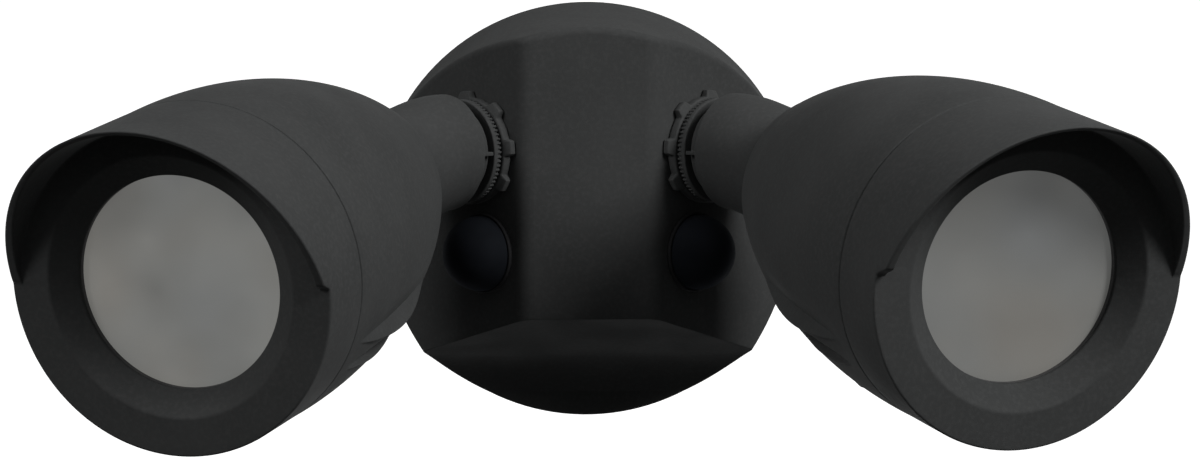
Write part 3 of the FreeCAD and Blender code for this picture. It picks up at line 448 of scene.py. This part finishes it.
def corner_points(before, corner, after, radius, steps):
    """Points of a small curve that rounds one corner, and takes up less than half of the runs beside it."""
    longest = 0.45
    into, out = before - corner, after - corner
    reach = min(radius, into.length * longest, out.length * longest)
    if reach < 1e-6:
        return [corner.copy() for _ in range(steps + 1)]
    start, end = corner + into.normalized() * reach, corner + out.normalized() * reach
    found = []
    for k in range(steps + 1):
        t = k / steps
        found.append(start * (1 - t) ** 2 + corner * 2 * t * (1 - t) + end * t ** 2)
    return found


def rounded(outline, steps=3):
    """Rounds the corners of a closed outline of (x, y, radius)."""
    points = [Vector(item[:2]) for item in outline]
    found = []
    for j, (_, _, radius) in enumerate(outline):
        if radius == 0:
            found.append(points[j].copy())
        else:
            found += corner_points(points[j - 1], points[j], points[(j + 1) % len(points)], radius, steps)
    return found


def arc_between(start, end, rise, steps):
    """Points of a circular arc that swells by rise to the left of its run."""
    run = end - start
    left = Vector((-run.y, run.x)).normalized()
    radius = (run.length ** 2 / 4 + rise * rise) / (2 * rise)
    centre = (start + end) / 2 + left * (rise - radius)
    first, last = start - centre, end - centre
    sweep = first.angle_signed(last)
    return [centre + Matrix.Rotation(-sweep * k / steps, 2) @ first for k in range(steps + 1)]


def turned(profile, angle):
    """Profile of (radius, depth) points, turned by an angle from Y towards X."""
    return [Vector((p.x * math.sin(angle), p.x * math.cos(angle), p.y)) for p in profile]


def skin(verts, faces, rings):
    """Adds the closed tube through a ring of equally long closed profiles."""
    start, count, size = len(verts), len(rings), len(rings[0])
    verts += [point for ring in rings for point in ring]
    for i in range(count):
        for j in range(size):
            here, there = start + i * size, start + (i + 1) % count * size
            after = (j + 1) % size
            faces.append((here + j, here + after, there + after, there + j))


def add_bar(verts, faces, rings):
    """Adds a bar through a row of equally long closed outlines, with both ends closed."""
    start, size = len(verts), len(rings[0])
    verts += [point for ring in rings for point in ring]
    for i in range(len(rings) - 1):
        for j in range(size):
            a, b = start + i * size + j, start + i * size + (j + 1) % size
            faces.append((a, b, b + size, a + size))
    faces.append(tuple(range(start, start + size)))
    faces.append(tuple(range(len(verts) - size, len(verts))))


def make_piece(name, verts, faces, place, body, node, crease=None):
    """Smoothed piece from a mesh in millimetres, that rides on a body and stands for a CAD node.

    Edges sharper than crease, in degrees, stay sharp."""
    mesh = bpy.data.meshes.new(name)
    mesh.from_pydata([place @ (point / MM_PER_M) for point in verts], [], faces)
    work = bmesh.new()
    work.from_mesh(mesh)
    bmesh.ops.remove_doubles(work, verts=work.verts, dist=2e-6)
    bmesh.ops.dissolve_degenerate(work, edges=work.edges, dist=1e-6)
    bmesh.ops.recalc_face_normals(work, faces=work.faces)
    work.to_mesh(mesh)
    work.free()
    for face in mesh.polygons:
        face.use_smooth = True
    if crease:
        mesh.set_sharp_from_angle(angle=math.radians(crease))
    piece = bpy.data.objects.new(name, mesh)
    scene.collection.objects.link(piece)
    even = piece.modifiers.new("even_normals", "WEIGHTED_NORMAL")
    even.weight = 80
    even.keep_sharp = bool(crease)
    dress(piece, MATERIALS[SLOTS[node]])
    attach(piece, body)
    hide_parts(node)


def visor_share(angle, side, word):
    """0 where the visor has run out on the head's flank, 1 where it stands in full, smooth between them."""
    inner_end, outer_end, run = VISOR_ENDS[word]
    end = inner_end if math.sin(angle) * side < 0 else outer_end
    share = min(1.0, max(0.0, (FRONT_RADIUS * math.cos(angle) - end) / run + 0.5))
    return share * share * (3 - 2 * share)


def shroud_profile(angle, stand):
    """Section of the shroud: sleeve, visor, ring face, bevel down to the lens, and the lens's recess.

    The visor's wall thins towards its tip, which is highest at the top of the head."""
    face_inner, opening, recess = 31.7, 26.0, 29.8
    bevel_foot, seat, recess_back, face_back = -5.1, -6.0, -9.8, -2.4
    lip_draw, lip_thinning = 0.3, 1.25
    inner_radius = FRONT_RADIUS - WALL
    slope = (VISOR_TOP - VISOR_STEP) / FRONT_RADIUS
    outer_tip = max(0.0, VISOR_STEP + slope * FRONT_RADIUS * math.cos(angle)) * stand
    inner_tip = max(0.0, VISOR_STEP + slope * inner_radius * math.cos(angle)) * stand
    rise = outer_tip / VISOR_TOP
    sleeve_end = (SEAM_RADIUS, SEAM_FRONT, 0.4), (FRONT_RADIUS, -1.2, 0)
    outer_lip = (FRONT_RADIUS - lip_draw * rise, outer_tip, 0.6)
    inner_lip = (inner_radius + lip_thinning * rise, inner_tip, 0.45)
    face = (inner_radius, 0, 0.5), (face_inner, 0, 0.5), (opening, bevel_foot, 0.35), (opening, seat, 0.2)
    lens_seat = (recess, seat, 0), (recess, recess_back, 0), (recess + 1.0, recess_back, 0)
    inside = (recess + 1.4, face_back, 0), (inner_radius, face_back, 0), (SEAM_RADIUS - WALL, SEAM_FRONT, 0.3)
    return rounded([*sleeve_end, outer_lip, inner_lip, *face, *lens_seat, *inside])


# Front of the head: the sleeve over the rear housing, the ring face with its bevel down to the lens, and the
# visor, whose wall thins towards a rounded lip. Where the visor runs out, its sections lie closer together.
def build_shroud(side, word):
    around, close_step, close_count = 300, 0.002, 18
    angles = {TURN * k / around for k in range(around)}
    for way, end in zip((-side, side), VISOR_ENDS[word]):
        middle = math.acos(end / FRONT_RADIUS)
        angles |= {way * (middle + k * close_step) % TURN for k in range(-close_count, close_count + 1)}
    verts, faces = [], []
    skin(verts, faces, [turned(shroud_profile(angle, visor_share(angle, side, word)), angle)
                        for angle in sorted(angles)])
    make_piece(f"shroud_{word}", verts, faces, head_frame(side, word), f"{word}_head", f"front_shroud_{word}")


REAR_ARC = arc_between(REAR_START, REAR_END, REAR_RISE, 72)


def rear_radius(depth):
    """Radius of the rear housing at a depth, along its arc and as at the arc's ends beyond them."""
    for one, two in zip(REAR_ARC, REAR_ARC[1:]):
        if two.y <= -depth <= one.y:
            return one.x + (two.x - one.x) * (one.y + depth) / (one.y - two.y)
    return REAR_START.x if depth < -REAR_START.y else REAR_END.x


def rear_section(depth):
    """Outline across the rear at a depth: round, but for two ledges on each flank, drawn in above each."""
    radius = rear_radius(depth)
    half = []

    def half_chord(height):
        return math.sqrt(max(0.0, radius * radius - height * height))

    def add_arc(start, end, count):
        first, last = math.acos(start / radius), math.acos(end / radius)
        for k in range(1, count):
            angle = first + (last - first) * k / count
            half.append(radius * Vector((math.sin(angle), math.cos(angle))))

    level = radius
    for ledge in LEDGES:
        top, draw = ledge["top"], ledge["draw"]
        share = min(1.0, max(0.0, (depth - ledge["near"]) / (ledge["far"] - ledge["near"])))
        swell = max(0.0, math.sin(math.pi * share)) ** LEDGE_TAPER
        low = top - LEDGE_EDGE - ledge["thick"] * swell
        add_arc(level, top + draw, ledge["steps_above"])
        for above, deep in ((1.0, 0.0), (0.6, 0.35), (0.2, 0.85), (0.03, 1.0)):
            height = top + draw * above
            half.append(Vector((half_chord(height) - HOLLOW_DEEP * deep * swell, height)))
        out = half_chord(top) + LEDGE_OUT
        root, shelf = (top, 1.9), (top - 0.1 - 0.2 * swell, 1.6)
        nose, under = (low + 0.1 + 0.3 * swell, 0.0), (low, 0.3)
        for height, back in (root, shelf, nose, under):
            round_part = half_chord(height)
            half.append(Vector((round_part + (out - back - round_part) * swell, height)))
        level = low - 0.1
        half.append(Vector((half_chord(level), level)))
    add_arc(level, -radius, STEPS_BELOW)
    other = [Vector((-point.x, point.y)) for point in reversed(half)]
    return [Vector((0, radius))] + half + [Vector((0, -radius))] + other


def rear_front():
    """Profile of the rear's sleeve inside the shroud, from its inner lip out to the seam."""
    return [Vector((SLEEVE_RADIUS - WALL, SLEEVE_FRONT)), Vector((SLEEVE_RADIUS - 0.4, SLEEVE_FRONT)),
            Vector((SLEEVE_RADIUS, SLEEVE_FRONT - 0.4)), Vector((SLEEVE_RADIUS, SEAM_BACK)),
            Vector((SEAM_RADIUS - 0.3, SEAM_BACK)), Vector((SEAM_RADIUS - 0.02, SEAM_BACK - 0.25))]


def rear_inside():
    """Profile from the rear's end through its mouth and the ball's socket, and back inside to the sleeve."""
    socket_top = BALL_RADIUS - HEAD_LENGTH
    end_radius, mouth_edge, mouth_inner, near_axis = 25.05, 20.1, -102.6, 0.01
    floor_radius, sleeve_root, steps = 28.5, 34.8, 9
    walled = REAR_ARC[15:60]
    # The first point only gives direction to the corner after it, and is dropped.
    profile = rounded([(*REAR_ARC[-3], 0), (end_radius, -HEAD_LENGTH, 1.3), (mouth_edge, -HEAD_LENGTH, 0.5),
                       (MOUTH_RADIUS, mouth_inner, 0)])[1:]
    for k in range(1, steps):
        turn = math.asin(MOUTH_RADIUS / BALL_RADIUS) * (1 - k / steps)
        profile.append(Vector((BALL_RADIUS * math.sin(turn), BALL_RADIUS * math.cos(turn) - HEAD_LENGTH)))
    profile += [Vector((near_axis, socket_top)), Vector((near_axis, socket_top + WALL)),
                Vector((BALL_RADIUS * 0.6, socket_top + WALL)),
                Vector((BALL_RADIUS + WALL, BALL_RADIUS * 0.8 - HEAD_LENGTH)),
                Vector((floor_radius, socket_top + 4))]
    profile += [Vector((point.x - WALL, point.y)) for point in reversed(walled)]
    return profile + [Vector((sleeve_root, SLEEVE_BACK)), Vector((SLEEVE_RADIUS - WALL, SLEEVE_BACK))]


def spun(profile, section):
    """Stations of a profile that is carried round with as many points as a section has."""
    ways = [point.normalized() for point in section]
    return [[Vector((way.x * p.x, way.y * p.x, p.y)) for way in ways] for p in profile]


def add_blade(verts, faces, lean):
    """Adds one cooling blade, which follows the underside and rises from it at both ends."""
    spin = Matrix.Rotation(math.radians(180 + lean), 2)
    steps, sunk, steep = 40, 1.5, 4
    rings = []
    for k in range(steps + 1):
        share = k / steps
        depth = BLADE_START + BLADE_LENGTH * share
        radius = rear_radius(depth)
        tip = radius + BLADE_TALL * min(1.0, math.sin(math.pi * share) * steep) ** 0.5
        foot = radius - sunk
        section = rounded([(-0.9, foot, 0), (-0.8, tip, 0.3), (0.8, tip, 0.3), (0.9, foot, 0)], steps=2)
        rings.append([Vector((*(spin @ point), -depth)) for point in section])
    add_bar(verts, faces, rings)


def add_tongue(verts, faces):
    """Adds the tongue in the socket that takes the pivot bolt, with a round end about the bolt."""
    steps = 16
    round_end = [(-TONGUE_RADIUS * math.cos(math.pi * k / steps),
                  -HEAD_LENGTH - TONGUE_RADIUS * math.sin(math.pi * k / steps)) for k in range(steps + 1)]
    outline = [(-TONGUE_RADIUS, TONGUE_ROOT)] + round_end + [(TONGUE_RADIUS, TONGUE_ROOT)]
    add_bar(verts, faces, [[Vector((x, y, z)) for y, z in outline] for x in (-TONGUE_HALF, TONGUE_HALF)])


# Bullet shaped rear of the head. On each flank, where it turns under, two ledges stand out, and three blades
# run along its underside. Its socket holds the arm's ball, and a tongue in it takes the pivot.
def build_rear(side, word):
    stations = spun(rear_front(), rear_section(0.1 - SEAM_BACK))
    for station in REAR_ARC[1:-2]:
        stations.append([Vector((point.x, point.y, station.y)) for point in rear_section(-station.y)])
    stations += spun(rear_inside(), rear_section(-0.1 - REAR_END.y))
    verts, faces = [], []
    skin(verts, faces, [list(line) for line in zip(*stations)])
    for lean in BLADE_LEANS:
        add_blade(verts, faces, lean)
    add_tongue(verts, faces)
    make_piece(f"rear_{word}", verts, faces, head_frame(side, word), f"{word}_head", f"rear_housing_{word}",
               crease=40)


# Lock ring. Each lug stands out over nearly the whole height of the ring and slopes off to both sides.
def build_lock_ring(side, word):
    lugs = [math.radians(side * angle) for angle in LUG_ANGLES]
    rings = []
    for k in range(RING_STEPS):
        angle = TURN * k / RING_STEPS
        away = RING_RADIUS * min(abs((angle - lug + math.pi) % TURN - math.pi) for lug in lugs)
        stand = min(1.0, max(0.0, (LUG_HALF - away) / LUG_FLANK))
        reach = RING_RADIUS + (LUG_RADIUS - RING_RADIUS) * stand
        profile = rounded([(RING_BORE, RING_FOOT, 0), (reach, RING_FOOT, 0.3),
                           (reach, RING_TOP - 0.3 - LUG_SLOPE * stand, 0.35),
                           (RING_RADIUS - 0.4, RING_TOP, 0.3), (RING_BORE, RING_TOP, 0)])
        rings.append(turned(profile, angle))
    verts, faces = [], []
    skin(verts, faces, rings)
    make_piece(f"ring_{word}", verts, faces, swivel_frame(word), f"{word}_lock_ring", f"lock_ring_{word}",
               crease=35)


# Collar under the arm: a smooth band whose lower edge is cut into fine teeth.
def build_collar(word):
    count = TEETH * TOOTH_STEPS
    rings = []
    for k in range(count):
        in_gap = k % TOOTH_STEPS < TOOTH_STEPS / 2
        reach = COLLAR_RADIUS - (TOOTH_DEEP if in_gap else 0)
        profile = rounded([(COLLAR_BORE, COLLAR_FOOT, 0), (reach, COLLAR_FOOT, 0.1),
                           (reach, TOOTH_TOP - 0.1, 0), (COLLAR_RADIUS, TOOTH_TOP, 0),
                           (COLLAR_RADIUS, COLLAR_TOP, 0.4), (COLLAR_BORE, COLLAR_TOP, 0)])
        rings.append(turned(profile, TURN * k / count))
    verts, faces = [], []
    skin(verts, faces, rings)
    make_piece(f"collar_{word}", verts, faces, swivel_frame(word), f"{word}_arm", f"index_collar_{word}",
               crease=35)


def make_floor():
    """Pale floor well below the light, which throws little light back up at the undersides.

    To the camera and in gloss it is plain white but for the light's own shadow."""
    corners = [(x * FLOOR_HALF, y * FLOOR_HALF, FLOOR_LEVEL) for x, y in ((-1, -1), (1, -1), (1, 1), (-1, 1))]
    mesh = bpy.data.meshes.new("floor")
    mesh.from_pydata(corners, [], [(0, 1, 2, 3)])
    floor = bpy.data.objects.new("floor", mesh)
    scene.collection.objects.link(floor)
    material, graph, where = new_material("floor_paper")
    shown = graph.shown()
    paper = graph.mottle(where, 3, 0.62, 0.66, 2)
    graph.surface(Base_Color=graph.mix(shown, (FLOOR_BOUNCE,) * 3, paper), Roughness=0.9,
                  Emission_Color=(1, 1, 1), Emission_Strength=graph.math("MULTIPLY", shown, FLOOR_GLOW))
    floor.data.materials.append(material)


def make_world():
    """Soft light that is strongest from straight above, and plain white behind the light."""
    world = bpy.data.worlds.new("studio")
    scene.world = world
    graph = Graph(world)
    way = graph.add("ShaderNodeTexCoord").outputs["Generated"]
    height = graph.add("ShaderNodeSeparateXYZ", {0: way}).outputs["Z"]
    above = graph.math("POWER", graph.math("MAXIMUM", height, 0.0), SKY_POWER)
    strengths = (graph.spread(above, SKY_SIDE, SKY_TOP), 1.0)
    light, white = (graph.add("ShaderNodeBackground", {"Color": (1, 1, 1), "Strength": strength}).outputs[0]
                    for strength in strengths)
    mixed = graph.add("ShaderNodeMixShader", {0: graph.shown(), 1: light, 2: white})
    out = graph.add("ShaderNodeOutputWorld")
    graph.tree.links.new(mixed.outputs[0], out.inputs["Surface"])


dress_nodes()
for side, word in SIDES:
    build_shroud(side, word)
    build_rear(side, word)
    build_lock_ring(side, word)
    build_collar(word)
make_camera()
make_floor()
make_world()
make_lamps()
scene.view_settings.view_transform = "Standard"
